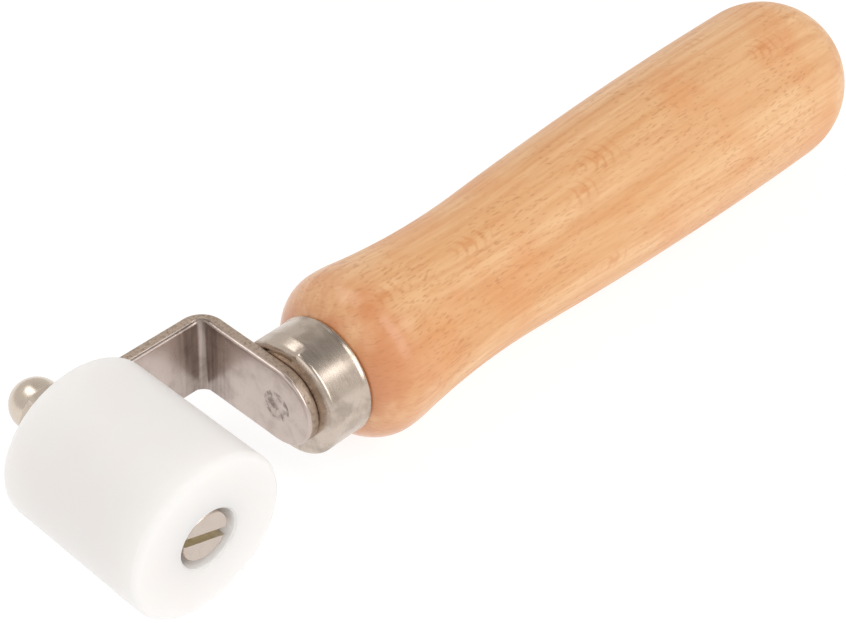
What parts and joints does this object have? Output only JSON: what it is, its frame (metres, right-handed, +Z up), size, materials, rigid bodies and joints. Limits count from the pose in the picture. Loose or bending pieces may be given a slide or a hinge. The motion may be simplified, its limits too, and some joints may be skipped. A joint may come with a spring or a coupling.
{
  "type": "hand roller",
  "caption": "Hand roller with a soft white rubber roller on a cantilevered bent-steel arm, a steel ferrule and a turned beech handle.",
  "frame": {"origin": "centre of the bounding box's base, on the table that the roller and the handle's belly rest on", "axes": "+X along the tool from the roller to the handle's butt, +Y along the axle from the screw's head to the arm and cap nut, +Z up"},
  "size_m": [0.2024, 0.0498, 0.0354],
  "materials": {
    "beech": "turned beech under clear satin lacquer",
    "ferrule_steel": "drawn steel, nickel plated, softly polished",
    "strip_steel": "cold-rolled strip, sheared, bent and nickel plated",
    "tang_steel": "bright drawn bar",
    "screw_steel": "nickel-plated steel, turned",
    "nut_nickel": "polished nickel plate",
    "hub_nylon": "machined white nylon",
    "white_rubber": "moulded white silicone rubber, matt"
  },
  "bodies": {
    "frame": {"handle": "beech", "ferrule": "ferrule_steel", "tang": "tang_steel", "arm_bracket": "strip_steel", "axle_screw": "screw_steel", "axle_sleeve": "tang_steel", "head_washer": "screw_steel", "arm_washer": "screw_steel", "cap_nut": "nut_nickel"},
    "roller": {"roller_tyre": "white_rubber", "roller_hub": "hub_nylon"}
  },
  "joints": [
    {"name": "roller_spin", "type": "hinge", "parent": "frame", "child": "roller", "pos_m": [-0.08621, -0.00728, 0.015], "axis": [0, 1, 0], "continuous": true}
  ]
}
